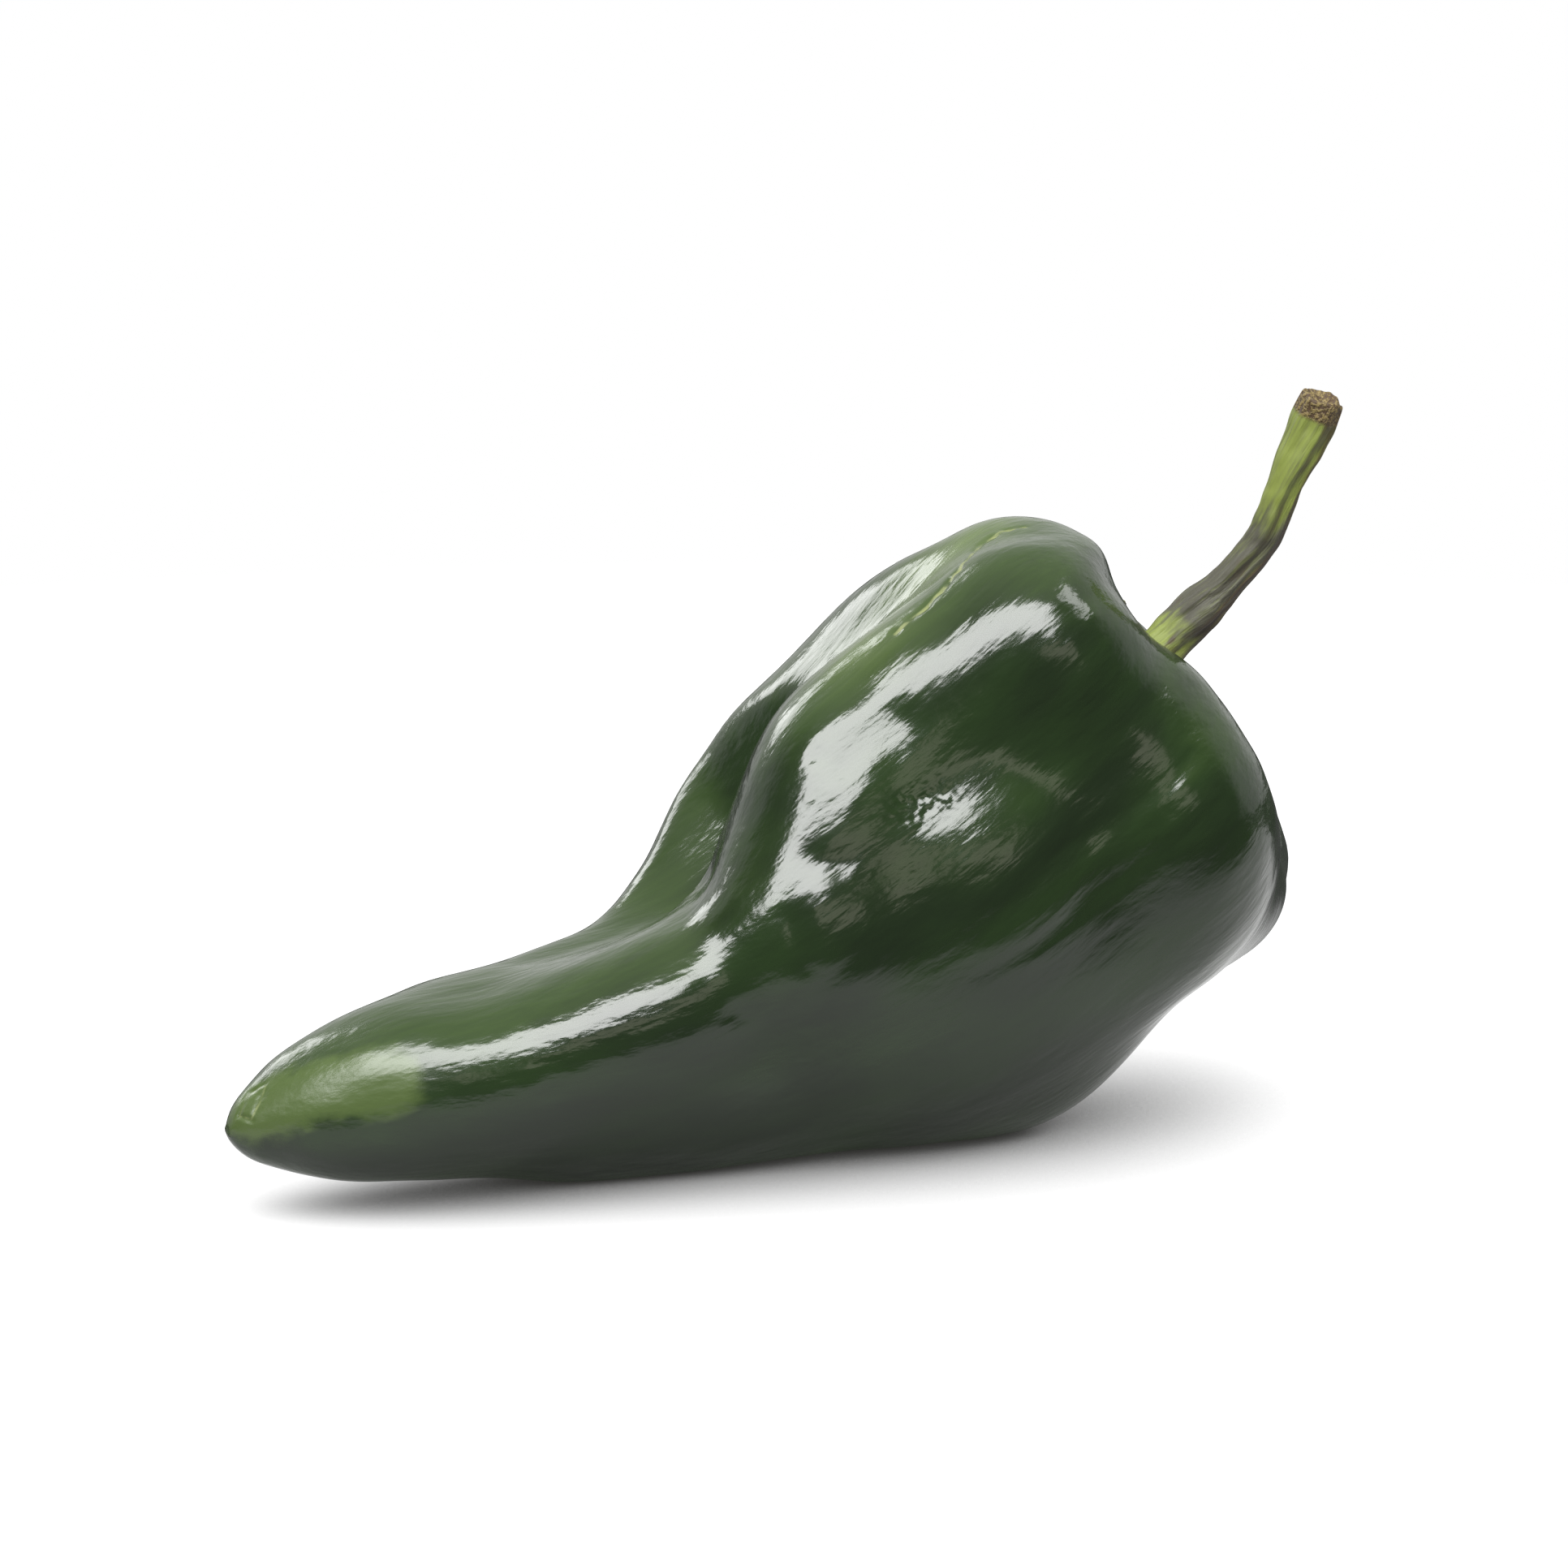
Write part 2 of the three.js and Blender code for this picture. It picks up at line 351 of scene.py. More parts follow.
@dataclass(frozen=True)
class Mark:
    """A dent or crease pressed into a surface, or a ridge where its depth is negative.

    Attributes:
        line: The points that it runs through, in millimetres.
        width: How far from the line it has faded, in millimetres.
        depth: How deep it goes, in millimetres.
        profile: How it fades.
        grain: The size of the grains that break it up, in millimetres, or 0.
    """

    line: tuple[Point, ...]
    width: float
    depth: float
    profile: Profile = Profile.BOWL
    grain: float = 0.0

    def height(self, line: Line, places: np.ndarray) -> np.ndarray:
        """The height that the mark gives each place, where line is its own line laid on the skin."""
        shape = line.nearness(places, self.width, self.profile.value)
        if self.grain:
            grains = GRAIN_MIDDLE + GRAIN_SWING * noise_at(places, self.grain)
            shape = shape * np.clip(grains, 0, GRAIN_MOST)
        return -self.depth * shape


class FineMesh:
    """A fine mesh grown from a CAD node: merged, turned to quads and smoothed, then shaped by heights."""

    def __init__(self, node: str, drawing: Drawing) -> None:
        """Copies the node's mesh and joins its triangles."""
        self.drawing = drawing
        copy = bmesh.new()
        copy.from_mesh(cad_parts[node].data)
        bmesh.ops.remove_doubles(copy, verts=copy.verts, dist=MERGE_DISTANCE)
        self._join_triangles(copy)
        self.mesh = bpy.data.meshes.new(node)
        copy.to_mesh(self.mesh)
        copy.free()

    @staticmethod
    def _join_triangles(copy: bmesh.types.BMesh) -> None:
        """Dissolves the diagonals of a mesh whose rows of triangles run from one pole to the other."""
        pole = max(copy.verts, key=lambda vert: len(vert.link_edges))
        rows = {pole: 0}
        reached = [pole]
        while reached:
            known, reached = reached, []
            for vert in known:
                for edge in vert.link_edges:
                    other = edge.other_vert(vert)
                    if other not in rows:
                        rows[other] = rows[vert] + 1
                        reached.append(other)
        diagonals = set()
        for face in copy.faces:
            for loop in face.loops:
                row = rows[loop.vert]
                others = (loop.link_loop_next.vert, loop.link_loop_prev.vert)
                if row > 0 and all(rows[other] == row + 1 for other in others):
                    diagonals.add(loop.edge)
        bmesh.ops.dissolve_edges(copy, edges=list(diagonals), use_verts=False)

    def smooth(self, levels: int) -> None:
        """Puts the mesh through a Subdivision Surface."""
        holder = bpy.data.objects.new("smoothing", self.mesh)
        bpy.context.scene.collection.objects.link(holder)
        rounding = holder.modifiers.new("rounding", "SUBSURF")
        rounding.levels = rounding.render_levels = levels
        view = bpy.context.evaluated_depsgraph_get()
        self.mesh = bpy.data.meshes.new_from_object(holder.evaluated_get(view))
        bpy.data.objects.remove(holder)

    def refine(self, lines: Sequence[Line], reach: float) -> None:
        """Splits the faces near some lines, so that they can carry finer marks."""
        fine = bmesh.new()
        fine.from_mesh(self.mesh)
        centres = self.drawing.millimetres(np.array([face.calc_center_median() for face in fine.faces]))
        distance = np.min([line.distance(centres) for line in lines], axis=0)
        close = [face for face, gap in zip(fine.faces, distance) if gap < reach]
        edges = list({edge for face in close for edge in face.edges})
        bmesh.ops.subdivide_edges(fine, edges=edges, cuts=1, use_grid_fill=True, smooth=1.0)
        fine.to_mesh(self.mesh)
        fine.free()

    def places(self) -> np.ndarray:
        """The vertices, in the drawing's millimetres."""
        flat = np.empty(3 * len(self.mesh.vertices), np.float32)
        self.mesh.vertices.foreach_get("co", flat)
        return self.drawing.millimetres(flat.reshape(-1, 3))

    def move(self, places: np.ndarray) -> None:
        """Puts the vertices at new places, none of them below the surface that the pepper lies on."""
        metres = self.drawing.metres(places)
        metres[:, 2] = np.maximum(metres[:, 2], 0)
        self.mesh.vertices.foreach_set("co", metres.astype(np.float32).ravel())
        self.mesh.update()

    def normals(self) -> np.ndarray:
        """The vertices' normals."""
        flat = np.empty(3 * len(self.mesh.vertices), np.float32)
        self.mesh.vertex_normals.foreach_get("vector", flat)
        return flat.reshape(-1, 3)

    def tree(self) -> BVHTree:
        """The surface for finding nearest places on it."""
        corners = [vert.co for vert in self.mesh.vertices]
        return BVHTree.FromPolygons(corners, [face.vertices for face in self.mesh.polygons])

    def keep(self, name: str, values: np.ndarray) -> None:
        """Stores a number or a vector for each vertex, for the material to read."""
        vector = values.ndim == 2
        attribute = self.mesh.attributes.new(name, "FLOAT_VECTOR" if vector else "FLOAT", "POINT")
        attribute.data.foreach_set("vector" if vector else "value", values.astype(np.float32).ravel())

    def finish(self, name: str, node: str, slot: str, material: bpy.types.Material) -> bpy.types.Object:
        """Makes the mesh a piece of the pepper.

        Args:
            name: The piece's name.
            node: The CAD node that it stands for.
            slot: Not used.
            material: Its finish.

        Returns:
            The piece.
        """
        self.mesh.materials.clear()
        self.mesh.materials.append(material)
        self.mesh.shade_smooth()
        piece = bpy.data.objects.new(name, self.mesh)
        bpy.context.scene.collection.objects.link(piece)
        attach(piece, "root")
        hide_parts(node)
        LOG.info("%s: %d faces", name, len(self.mesh.polygons))
        return piece


@dataclass(frozen=True)
class SkinFinish:
    """Waxy dark green skin, lighter where it faces up as painted light, paler at the tip and by the seam,
    with a few corky cracks and flecks.

    Attributes:
        deep: The darkest green of the flanks.
        green: The green that the flanks turn to in places.
        painted_top_light: The lighter green painted where the skin faces up, as painted light from
            overhead.
        leaf: The pale green at the tip and by the seam.
        cork: The dry skin in the cracks.
        fleck: The few pale dots.
        refraction: The wax's index of refraction.
        gloss: The roughness of the wax.
        mottle_roughness: How much rougher it is in the mottle.
        cork_roughness: How much rougher it is in the cracks.
        tip_roughness: How much rougher it is at the tip.
        mottle: The broad patches of the two greens of the flanks.
        streaks: The fine streaks along the fruit.
        crumbs: The crumbs that break up the cork in the cracks.
        tatters: The tatters at the edge of the pale skin.
        ripples: The drawn-out ripples in the relief.
        wrinkles: The wrinkles in the relief.
        grain: The faint grain of the relief.
        green_edge: The mottle where the green starts and where it is full.
        painted_top_light_edge: How far up the skin faces where the painted top light starts and where it is
            full.
        leaf_edge: How near the tip is where the pale green starts and where it is full.
        cork_edge: How far from a crack's line its cork starts and where it is full, in millimetres.
        crumb_edge: The crumbs where the cork starts and where it is full.
        fleck_cells: How many cells of the pattern of dots there are in a millimetre.
        fleck_edge: How far from its middle a dot starts and where it is full, in cells.
        fleck_chance: The chance that a cell has no dot, with a soft edge.
    """

    deep: Colour = (0.0085, 0.0145, 0.0065)
    green: Colour = (0.0125, 0.0245, 0.008)
    painted_top_light: Colour = (0.0235, 0.042, 0.0105)
    leaf: Colour = (0.075, 0.11, 0.03)
    cork: Colour = (0.15, 0.17, 0.065)
    fleck: Colour = (0.5, 0.42, 0.25)
    refraction: float = 1.45
    gloss: float = 0.12
    mottle_roughness: float = 0.08
    cork_roughness: float = 0.4
    tip_roughness: float = 0.2
    mottle: Layer = Layer((26, 9, 9), detail=4)
    streaks: Layer = Layer((16, 0.9, 0.9), detail=3, height=0.05)
    crumbs: Layer = Layer((2.2, 1.2, 1.2), detail=3)
    tatters: Layer = Layer((5, 1.6, 1.6), detail=4)
    ripples: Layer = Layer((9, 3, 3), detail=3, height=0.2)
    wrinkles: Layer = Layer((3.2, 1.3, 1.3), detail=3, height=0.055)
    grain: Layer = Layer((0.8, 0.5, 0.5), detail=2, height=0.004)
    green_edge: Edge = (0.3, 0.72)
    painted_top_light_edge: Edge = (0.3, 0.9)
    leaf_edge: Edge = (0.35, 0.75)
    cork_edge: Edge = (0.5, 0.15)
    crumb_edge: Edge = (0.34, 0.6)
    fleck_cells: float = 0.11
    fleck_edge: Edge = (0.022, 0.012)
    fleck_chance: Edge = (0.72, 0.74)

    def material(self) -> bpy.types.Material:
        """Builds the skin's material."""
        material, graph = new_material("pepper_skin")
        grown = graph.attribute("grown", output=1)
        streaks = graph.noise(grown, self.streaks)
        mottle = graph.noise(grown, self.mottle)
        crack = graph.step(graph.attribute("seam"), *self.cork_edge)
        crack = crack * graph.step(graph.noise(grown, self.crumbs), *self.crumb_edge)
        colour = graph.mix(graph.step(mottle, *self.green_edge), self.deep, self.green)
        # Painted light: a streaky lighter green where the skin faces up, standing in for light from
        # overhead.
        painted_top_light_mask = graph.step(graph.attribute("up") + 0.5 * (mottle - 0.5), *self.painted_top_light_edge)
        colour = graph.mix(painted_top_light_mask * (0.45 + 0.7 * streaks), colour, self.painted_top_light)
        colour = graph.mix(self._pale(graph, grown, streaks), colour, self.leaf)
        colour = graph.mix(crack, colour, self.cork)
        colour = graph.mix(self._flecks(graph, grown), colour, self.fleck)
        roughness = self.gloss + self.mottle_roughness * mottle + self.cork_roughness * crack
        roughness = roughness + self.tip_roughness * graph.attribute("tip")
        relief = self._relief(graph, grown, streaks)
        graph.surface(colour, roughness, self.refraction, relief)
        return material

    def _pale(self, graph: Graph, grown: Wire, streaks: Wire) -> Wire:
        """How pale the skin is: streaky by the seam, and a ragged patch at the tip."""
        tatters = graph.noise(grown, self.tatters) - 0.5
        tip = graph.step(graph.attribute("tip") + 0.5 * tatters, *self.leaf_edge)
        beside = graph.attribute("beside") * (0.5 + 0.7 * (streaks + tatters))
        return graph.larger(0.5 * tip, 0.8 * beside)

    def _flecks(self, graph: Graph, grown: Wire) -> Wire:
        """A few pale dots, one in some of the cells of a loose pattern."""
        cell = {"Vector": graph.scaled(grown, (self.fleck_cells,) * 3), "Scale": 1.0}
        middle = graph.node("ShaderNodeTexVoronoi", None, cell)
        chance = graph.node("ShaderNodeTexVoronoi", None, cell, output=1)
        red = graph.node("ShaderNodeSeparateColor", None, {0: chance})
        return graph.step(middle, *self.fleck_edge) * graph.step(red, *self.fleck_chance)

    def _relief(self, graph: Graph, grown: Wire, streaks: Wire) -> Wire:
        """The skin's fine relief, in millimetres."""
        relief = self.streaks.height * streaks
        for layer in (self.ripples, self.wrinkles, self.grain):
            relief = relief + layer.height * graph.noise(grown, layer)
        return relief


@dataclass(frozen=True)
class StalkFinish:
    """Dull stalk: green at its ends, grey-brown between, fibrous, with a dry cut end.

    Attributes:
        fresh: The green of the ends.
        dull: The grey of the middle.
        bark: The brown of the side that faces right and a little down, its scars and the cut.
        pith: The pale fibres in the cut.
        base: How far up the green of the base goes, in millimetres.
        top: Where the green of the top starts, in millimetres.
        cut: Where the cut end starts, in millimetres.
        blend: How far the middle's colour blends into the green past its ends, in millimetres.
        top_blend: How far it blends into the green of the top, in millimetres.
        cut_blend: How far the cut end's colour takes to start, in millimetres.
        wander: How far up and down those edges wander, in millimetres.
        refraction: Its index of refraction.
        smoothness: Its roughness between the fibres.
        fibre_roughness: How much rougher it is on them.
        fibres: The fibres along it.
        patches: The patches of its colours.
        pits: The pits in the cut end.
        brown_side_edge: How far its side faces right and a little down where the brown starts and where it
            is full.
        scar_edge: The patches where a brown scar starts and where it is full.
        dull_edge: The fibres where the grey starts and where it is full.
        fresh_edge: The fibres where the green starts and where it is full.
        pith_edge: The pits where the pale fibres start and where they are full.
    """

    fresh: Colour = (0.15, 0.182, 0.038)
    dull: Colour = (0.038, 0.035, 0.027)
    bark: Colour = (0.05, 0.03, 0.015)
    pith: Colour = (0.16, 0.12, 0.045)
    base: float = 5.5
    top: float = 24.0
    cut: float = 38.4
    blend: float = 2.0
    top_blend: float = 3.0
    cut_blend: float = 0.8
    wander: float = 9.0
    refraction: float = 1.4
    smoothness: float = 0.45
    fibre_roughness: float = 0.3
    fibres: Layer = Layer((7, 0.45, 0.45), detail=4, height=0.2)
    patches: Layer = Layer((5, 1.8, 1.8), detail=4, height=0.15)
    pits: Layer = Layer((0.5, 0.5, 0.5), detail=3, height=0.1)
    brown_side_edge: Edge = (0.35, 0.8)
    scar_edge: Edge = (0.58, 0.66)
    dull_edge: Edge = (0.45, 0.75)
    fresh_edge: Edge = (0.5, 0.3)
    pith_edge: Edge = (0.4, 0.62)

    def material(self) -> bpy.types.Material:
        """Builds the stalk's material."""
        material, graph = new_material("pepper_stalk")
        grown = graph.attribute("grown", output=1)
        along = graph.node("ShaderNodeSeparateXYZ", None, {0: grown})
        fibres = graph.noise(grown, self.fibres)
        patches = graph.noise(grown, self.patches)
        place = along + self.wander * (patches - 0.5)
        middle = graph.step(place, self.base - self.blend, self.base + self.blend)
        middle = middle * graph.step(place, self.top + self.top_blend, self.top - self.blend)
        colour = graph.mix(0.95 * middle, self.fresh, self.dull)
        # Browner and darker on the side that faces right and a little down.
        brown_side = graph.step(graph.attribute("edge") + 0.8 * (patches - 0.5), *self.brown_side_edge)
        scars = graph.step(patches, *self.scar_edge) * graph.step(along, self.top, self.base)
        colour = graph.mix(0.8 * graph.larger(brown_side, scars), colour, self.bark)
        colour = graph.mix(0.55 * graph.step(fibres, *self.dull_edge), colour, self.dull)
        green = graph.step(fibres, *self.fresh_edge) * (0.6 - 0.4 * middle)
        colour = graph.mix(green, colour, self.fresh)
        end = graph.step(along, self.cut, self.cut + self.cut_blend)
        pits = graph.step(graph.noise(grown, self.pits), *self.pith_edge)
        colour = graph.mix(end, colour, graph.mix(pits, self.bark, self.pith))
        roughness = self.smoothness + self.fibre_roughness * fibres
        relief = self.fibres.height * fibres + self.patches.height * patches
        relief = relief + self.pits.height * end * pits
        graph.surface(colour, roughness, self.refraction, relief)
        return material


@dataclass(frozen=True)
class Fruit:
    """The fruit: the solid's own lobes and folds, with the skin's undulation, dents, seam and scars.

    Attributes:
        spine: The line that the fruit grew along, in millimetres.
        softness: How far the frames along it blend into each other, in millimetres.
        seam: The cracked seam that runs over the crest towards the shoulder.
        scar: The ring that the flower left at the tip.
        flecked: The patch of small hard flecks on the flank.
        dents: Dimples, creases, valleys and swellings in the skin.
        beside_seam: The middle of the pale streaky skin on the crest.
        beside_reach: How far that skin goes, in millimetres.
        pale_tip: The middle of the pale skin at the tip.
        tip_reach: How far that skin goes, in millimetres.
        waves: The heights and lengths of the skin's undulation, in millimetres.
        waver: How far the cracks wander from their lines, and over what length, in millimetres.
        scar_faintness: How much further than the seam's the scar's cork keeps off, in millimetres.
        fine_reach: How far from the finest marks the mesh is refined, in millimetres.
        finish: The skin's finish.
    """

    spine: tuple[Point, ...] = (
        (-66, 0, 11),
        (-45, 0, 12.5),
        (-25, 0, 14.5),
        (-7, 0, 20),
        (8, 0, 28.5),
        (18, 0, 34),
        (26, 0, 40),
    )
    softness: float = 12.0
    seam: Mark = Mark(
        (
            (32, -1.8, 76.6),
            (29.5, -0.8, 76.2),
            (26, -1.6, 74.8),
            (20.6, -6.6, 73),
            (17.3, -8.3, 70.9),
            (13.9, -9.2, 68.6),
            (10.4, -9.3, 66.2),
        ),
        width=0.5,
        depth=0.32,
        grain=1.6,
    )
    scar: Mark = Mark(
        (
            (-73.2, -1.5, 12.6),
            (-71.4, -0.3, 15.1),
            (-69.9, -1.8, 16.3),
            (-70.9, -3, 14.4),
            (-72.2, -3.1, 12.5),
            (-73.2, -1.5, 12.6),
        ),
        width=0.45,
        depth=0.22,
        grain=1.5,
    )
    flecked: Mark = Mark(((7.4, -20, 46.3), (11.9, -20.4, 48.1)), width=2.6, depth=0.13, grain=0.7)
    dents: tuple[Mark, ...] = (
        Mark(((-70, -3, 15), (-65, -7.5, 15.5), (-60, -10.5, 14)), 4, 0.35),
        Mark(((-57, -8.5, 20), (-53, -8.5, 22)), 5, -0.7),
        Mark(((-38.7, -16.9, 15.4),), 1.5, 0.3),
        Mark(((-15.8, -19.7, 23.2),), 1.6, 0.3),
        Mark(((-8.7, -21.1, 34.3), (-7.3, -22.2, 28.6)), 1.5, 0.35),
        Mark(((-13.6, -19.1, 22.7),), 2, 0.3),
        Mark(((-5.6, -21, 41.9), (-2.6, -21.8, 41.2)), 2.2, 0.4),
        Mark(((-1.7, -20.9, 54.8), (0.5, -20.8, 56.6), (3.2, -20.8, 57.8), (5.9, -20.7, 59.1)), 2.4, 0.4),
        Mark(((-2.3, -14.5, 53),), 0.7, 0.3, Profile.CREASE),
        Mark(((43.6, -27.3, 52.5), (39.7, -28.4, 49), (39, -27.7, 44.9)), 0.6, 0.2, Profile.CREASE),
        Mark(((42.4, -26.2, 50), (33.9, -24.8, 44.4), (24.6, -25.2, 39.2), (16.4, -25.2, 32.4)), 1.6, 0.28),
        Mark(((46.8, -27.5, 45.3), (36.1, -25.6, 38.2), (26.4, -25, 31.4), (15.4, -24, 26.1)), 1.4, 0.22),
        Mark(((44.6, -26.8, 47.6), (38, -25.2, 42.5)), 0.8, 0.15),
        Mark(((-0.7, -23.5, 29.6), (-8.2, -20.9, 24.2)), 1.8, 0.25),
    )
    beside_seam: tuple[Point, ...] = ((6, -4, 66), (14, 0, 70.5), (21, 2, 74), (28, 4, 75))
    beside_reach: float = 7.0
    pale_tip: tuple[Point, ...] = ((-72, -2.5, 13.5), (-64.3, -7.5, 16.3), (-57, -10.5, 17))
    tip_reach: float = 5.0
    waves: tuple[tuple[float, Point], ...] = ((0.3, (17, 11, 11)), (0.07, (7, 4, 4)), (0.1, (60, 5, 5)))
    waver: tuple[float, float] = (0.28, 2.5)
    scar_faintness: float = 0.25
    fine_reach: float = 3.0
    finish: SkinFinish = SkinFinish()

    def build(self, drawing: Drawing) -> bpy.types.Object:
        """Makes the fruit's skin over its solid."""
        fine = FineMesh("fruit", drawing)
        fine.smooth(levels=1)
        skin = fine.tree()
        finest = (self.seam, self.scar, self.flecked)
        seam, scar, flecked = (Line(mark.line).settled(skin, drawing) for mark in finest)
        fine.refine([seam, scar, flecked], self.fine_reach)
        fine.smooth(levels=1)
        places = fine.places()
        wandering = self._wandering(places)
        grown = GrowthLine(self.spine, self.softness).straightened(places)
        height = undulation(grown, self.waves)
        for mark in self.dents:
            height += mark.height(Line(mark.line).settled(skin, drawing), places)
        height += self.seam.height(seam, wandering)
        height += self.scar.height(scar, wandering)
        height += self.flecked.height(flecked, places)
        fine.move(places + height[:, None] * fine.normals())
        to_scar = self.scar_faintness + scar.distance(wandering)
        fine.keep("grown", grown)
        fine.keep("seam", np.minimum(seam.distance(wandering), to_scar))
        # How far the skin faces up, which places the painted top light.
        fine.keep("up", fine.normals()[:, 2])
        fine.keep("beside", Line(self.beside_seam).nearness(places, self.beside_reach))
        fine.keep("tip", Line(self.pale_tip).nearness(places, self.tip_reach))
        return fine.finish("pepper_fruit", "fruit", "skin", self.finish.material())

    def _wandering(self, places: np.ndarray) -> np.ndarray:
        """The places, each a little off, so that a crack measured from them wanders."""
        reach, length = self.waver
        noises = [noise_at(places + shift, length) for shift in NOISE_SHIFTS]
        return places + reach * np.stack(noises, axis=1)


@dataclass(frozen=True)
class Stem:
    """The stalk and its cap: the solid's own form, with ridges, wrinkles and a ragged cut.

    Attributes:
        route: The line that the stalk grew along, in millimetres.
        softness: How far the frames along it blend into each other, in millimetres.
        twist: How far its ridges turn from base to end, in radians.
        brown_side_facing: The direction that its brown side faces.
        waves: The heights and lengths of its ridges and knots, in millimetres.
        finish: The stalk's finish.
    """

    route: tuple[Point, ...] = (
        (51.2, 2.3, 56.7),
        (54.9, 2, 60.2),
        (59, 1, 64.2),
        (61.4, 0, 66.8),
        (66, -1, 72.3),
        (67.8, -2, 77.8),
        (69.2, -3, 82.1),
        (71.1, -4, 86.9),
        (72, -5, 90.2),
    )
    softness: float = 2.5
    twist: float = 1.7
    brown_side_facing: Point = (0.906, -0.423, -0.2)
    waves: tuple[tuple[float, Point], ...] = ((0.22, (9, 0.9, 0.9)), (0.16, (2.2, 1.6, 1.6)))
    finish: StalkFinish = StalkFinish()

    def build(self, drawing: Drawing) -> bpy.types.Object:
        """Makes the stalk's surface over its solid."""
        fine = FineMesh("stem", drawing)
        fine.smooth(levels=2)
        places = fine.places()
        line = GrowthLine(self.route, self.softness, self.twist)
        grown = line.straightened(places)
        height = undulation(grown, self.waves)
        normals = fine.normals()
        fine.move(places + height[:, None] * normals)
        fine.keep("grown", grown)
        # How far each place faces right and a little down, which places the brown side.
        fine.keep("edge", normals @ np.array(self.brown_side_facing))
        LOG.info("stalk length %.1f mm", line.length)
        return fine.finish("pepper_stem", "stem", "stalk", self.finish.material())


@dataclass(frozen=True)
class Lamp:
    """A soft rectangular light.

    Attributes:
        name: Its name.
        place: Right of, beyond and above the pepper as the camera sees it, in metres.
        size: Its width and height, in metres.
        power: Its power in watts.
        colour: Its colour.
    """

    name: str
    place: Point
    size: tuple[float, float]
    power: float
    colour: Colour = (1.0, 1.0, 1.0)


@dataclass(frozen=True)
class Studio:
    """The white floor, the soft lights and the camera.

    Attributes:
        target: The place that the camera looks at, in the drawing's millimetres.
        turn: How far the camera stands round from the front, in degrees.
        rise: How far it looks down, in degrees.
        distance: How far it stands off, in metres.
        image_width: The photograph's width, in pixels.
        pixel: What one of its pixels covers at the pepper, in metres.
        lamps: The lights.
        floor_radius: The floor's radius, in metres.
        paper: How bright the floor is.
        shade: The floor's colour where the pepper shades it most.
        shade_reach: How far the pepper shades the floor, in metres.
        shade_edge: How open the sky over the floor is where its light starts and where it is full.
        lit_front: How far up y the floor looks lit in the skin from, and lit in full from, in metres.
        lit_back: How far up y it looks lit at all, and lit in full, in metres.
        room: The colour of the dim room behind the camera.
        ceiling: The colour overhead.
        wall: The colour of the wall behind the pepper, as its skin reflects it.
        backdrop: The colour of the wall and the floor, as the camera sees them.
        front_edge: The rise, as a sine, where the ceiling behind the camera starts and is full.
        wall_edge: The rise, as a sine, where the ceiling over the wall starts and is full.
        side_edge: How far away from the camera, as a cosine, the wall starts and is full.
        ground_edge: The rise, as a sine, where the dim ground starts and is full.
    """

    target: Point = (0.0, 0.0, 46.5)
    turn: float = 25.0
    rise: float = 12.0
    distance: float = 1.0
    image_width: float = 1932.0
    pixel: float = 0.0001
    lamps: tuple[Lamp, ...] = (
        Lamp("key_softbox", (-0.09, -0.7, 0.89), (1.05, 0.6), 34),
        Lamp("side_softbox", (0.67, -0.07, 0.91), (0.35, 0.4), 3.2),
        Lamp("low_panel", (0.49, -0.88, 0.35), (0.5, 0.2), 0.55, (1.0, 0.95, 0.78)),
        Lamp("back_softbox", (-0.65, 0.72, 0.56), (0.42, 0.38), 3.2),
    )
    floor_radius: float = 0.4
    paper: float = 1.25
    shade: Colour = (0.02, 0.02, 0.018)
    shade_reach: float = 0.06
    shade_edge: Edge = (0.0, 0.9)
    lit_front: Edge = (-0.1, -0.05)
    lit_back: Edge = (0.07, 0.02)
    room: Colour = (0.07, 0.07, 0.07)
    ceiling: Colour = (0.7, 0.7, 0.7)
    wall: Colour = (0.8, 0.8, 0.8)
    backdrop: Colour = (1.0, 1.0, 1.0)
    front_edge: Edge = (0.72, 0.95)
    wall_edge: Edge = (0.45, 0.8)
    side_edge: Edge = (-0.15, 0.3)
    ground_edge: Edge = (0.0, -0.05)

    def axes(self) -> tuple[Vector, Vector]:
        """The level directions to the camera's right and away from it."""
        turn = math.radians(self.turn)
        return Vector((math.cos(turn), -math.sin(turn), 0)), Vector((math.sin(turn), math.cos(turn), 0))

    def build(self, drawing: Drawing) -> None:
        """Sets up the floor, the lights, the surround and the camera."""
        self._floor()
        self._surround()
        middle = Vector(drawing.metres(self.target))
        for lamp in self.lamps:
            self._light(lamp, middle)
        self._camera(middle)
        bpy.context.scene.view_settings.view_transform = "Standard"

    def _floor(self) -> None:
        """Makes the plain white floor, which the camera sees evenly bright but for a painted shadow under
        the pepper; in the skin it shows painted light, bright near the pepper and the dim room's colour
        beyond.
        """
        disc = bmesh.new()
        bmesh.ops.create_circle(disc, cap_ends=True, radius=self.floor_radius, segments=64)
        mesh = bpy.data.meshes.new("floor")
        disc.to_mesh(mesh)
        disc.free()
        material, graph = new_material("white_paper")
        place = graph.node("ShaderNodeTexCoord", output=3)
        aside = graph.node("ShaderNodeSeparateXYZ", None, {0: place}, output=1)
        # Painted light for the skin's reflections: the floor is bright only in a band near the pepper, and
        # dim beyond.
        lit = graph.step(aside, *self.lit_front) * graph.step(aside, *self.lit_back)
        reflected = graph.mix(lit, self.room, self.backdrop)
        shown = graph.mix(graph.node("ShaderNodeLightPath"), reflected, self.backdrop)
        # Painted shadow: the floor's colour falls to shade where the pepper closes off its sky.
        reach = {"Distance": self.shade_reach}
        open_sky = graph.node("ShaderNodeAmbientOcclusion", None, reach, output=1)
        paper = graph.mix(graph.step(open_sky, *self.shade_edge), self.shade, shown)
        light = graph.node("ShaderNodeEmission", None, {"Color": paper, "Strength": self.paper})
        graph.node("ShaderNodeOutputMaterial", None, {"Surface": light})
        mesh.materials.append(material)
        floor = bpy.data.objects.new("floor", mesh)
        bpy.context.scene.collection.objects.link(floor)

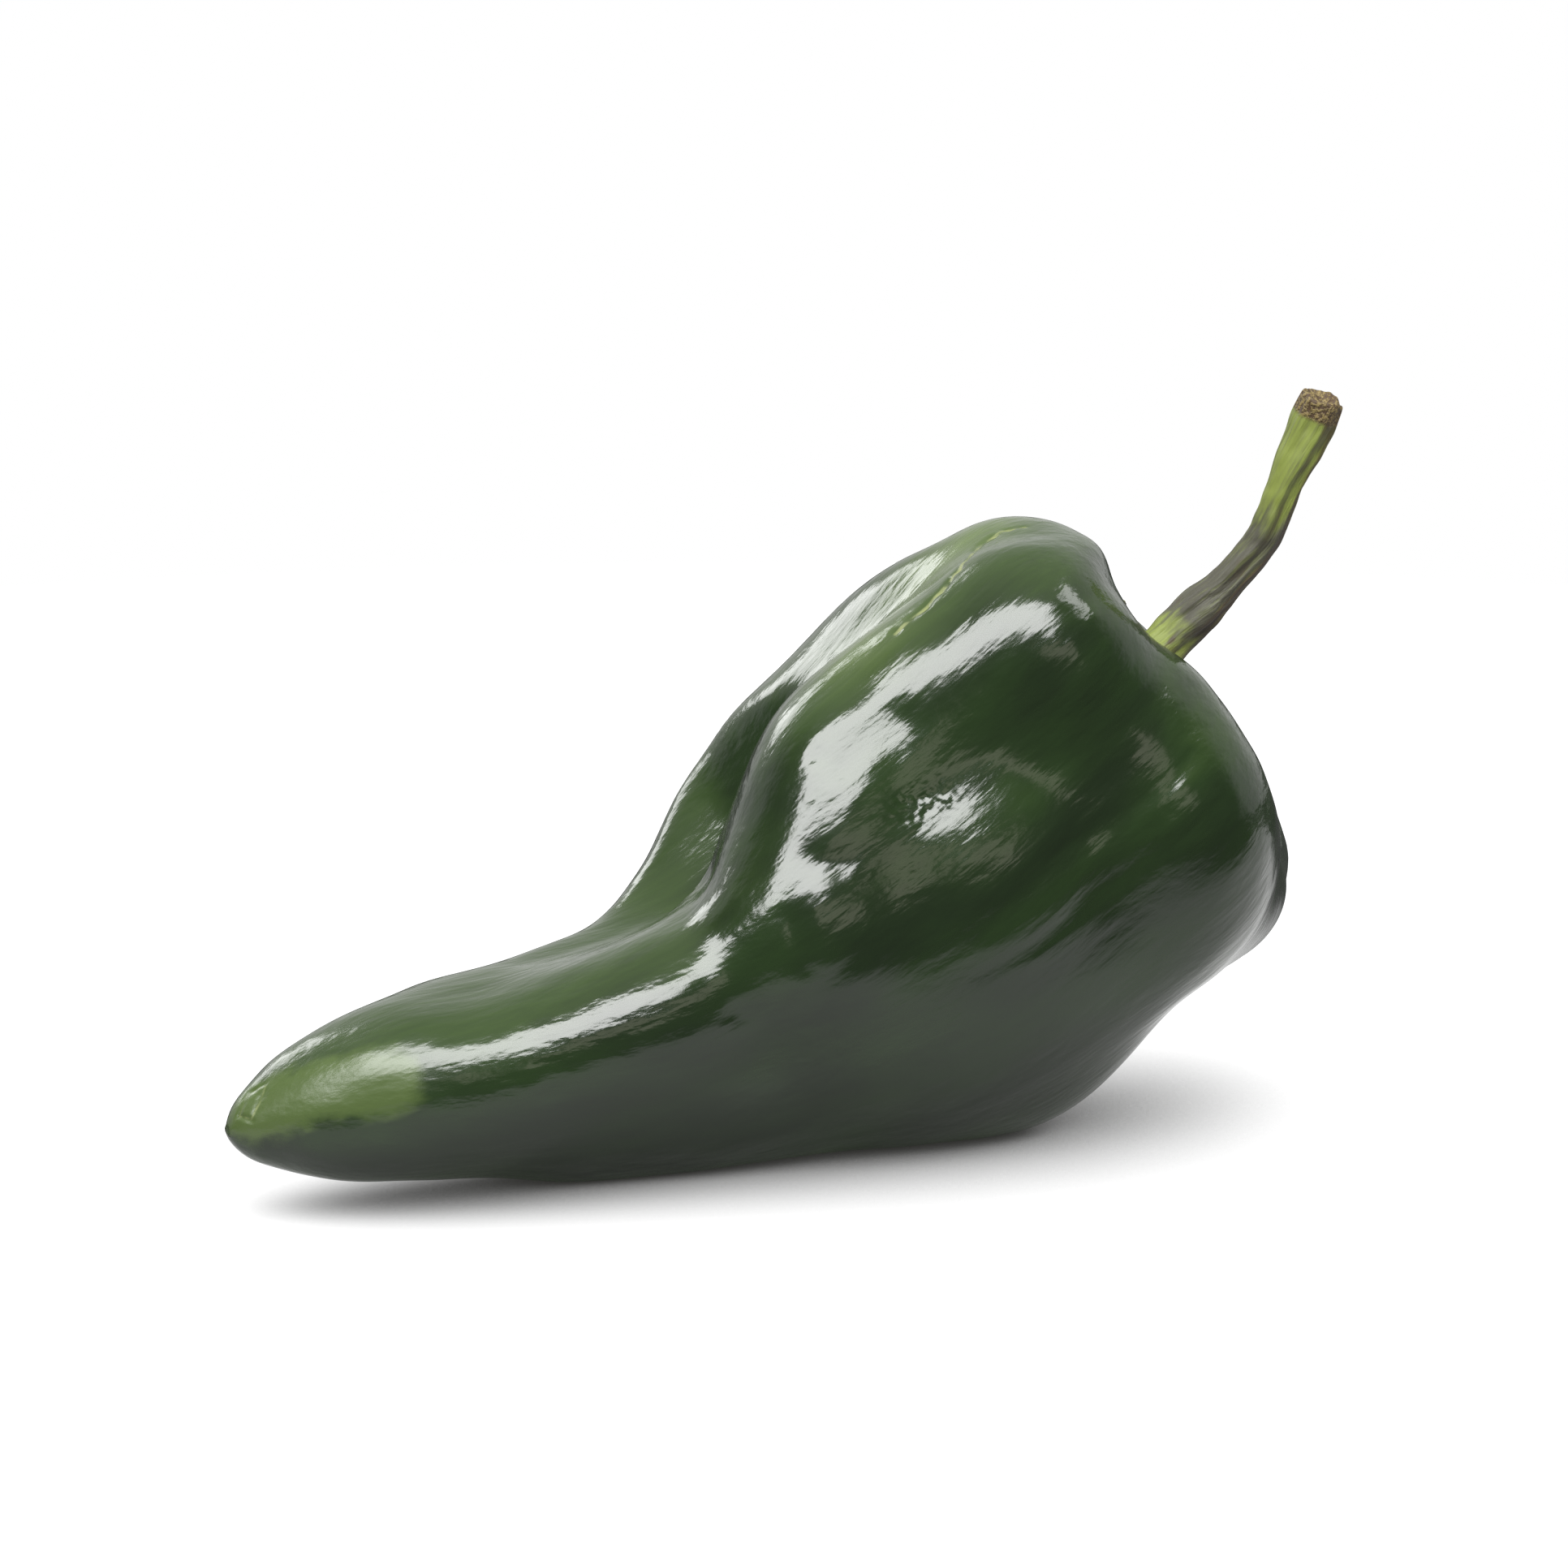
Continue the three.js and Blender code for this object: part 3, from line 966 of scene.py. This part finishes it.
    def _surround(self) -> None:
        """Lights the scene from all round: a white backdrop, and a dim room behind the camera."""
        world = bpy.data.worlds.new("surround")
        bpy.context.scene.world = world
        world.use_nodes = True
        graph = Graph(world.node_tree)
        way = graph.node("ShaderNodeTexCoord")
        rise = graph.node("ShaderNodeSeparateXYZ", None, {0: way}, output=2)
        onward = {"operation": "DOT_PRODUCT"}
        away = graph.node("ShaderNodeVectorMath", onward, {0: way, 1: self.axes()[1]}, output=1)
        front = graph.mix(graph.step(rise, *self.front_edge), self.room, self.ceiling)
        wall = graph.mix(graph.step(rise, *self.wall_edge), self.wall, self.ceiling)
        round_about = graph.mix(graph.step(away, *self.side_edge), front, wall)
        round_about = graph.mix(graph.step(rise, *self.ground_edge), round_about, self.room)
        colour = graph.mix(graph.node("ShaderNodeLightPath"), round_about, self.backdrop)
        light = graph.node("ShaderNodeBackground", None, {0: colour})
        graph.node("ShaderNodeOutputWorld", None, {0: light})

    def _light(self, lamp: Lamp, middle: Vector) -> None:
        """Hangs one light so that it faces the pepper."""
        right, forward = self.axes()
        light = bpy.data.lights.new(lamp.name, "AREA")
        light.shape = "RECTANGLE"
        light.size, light.size_y = lamp.size
        light.energy = lamp.power
        light.color = lamp.colour
        holder = bpy.data.objects.new(lamp.name, light)
        holder.location = lamp.place[0] * right + lamp.place[1] * forward + Vector((0, 0, lamp.place[2]))
        holder.rotation_euler = (middle - holder.location).to_track_quat("-Z", "Y").to_euler()
        bpy.context.scene.collection.objects.link(holder)

    def _camera(self, middle: Vector) -> None:
        """Stands the camera where the photograph was taken from."""
        rise = math.radians(self.rise)
        back = Vector((0, 0, math.sin(rise))) - math.cos(rise) * self.axes()[1]
        data = bpy.data.cameras.new("camera")
        data.lens = data.sensor_width * self.distance / (self.image_width * self.pixel)
        camera = bpy.data.objects.new("camera", data)
        camera.location = middle + self.distance * back
        camera.rotation_euler = (-back).to_track_quat("-Z", "Y").to_euler()
        bpy.context.scene.collection.objects.link(camera)
        bpy.context.scene.camera = camera


def main() -> None:
    """Builds the studio and the pepper."""
    logging.basicConfig(level=logging.INFO, format="%(message)s")
    drawing = Drawing()
    Studio().build(drawing)
    for piece in (Fruit().build(drawing), Stem().build(drawing)):
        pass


if __name__ == "__main__":
    main()
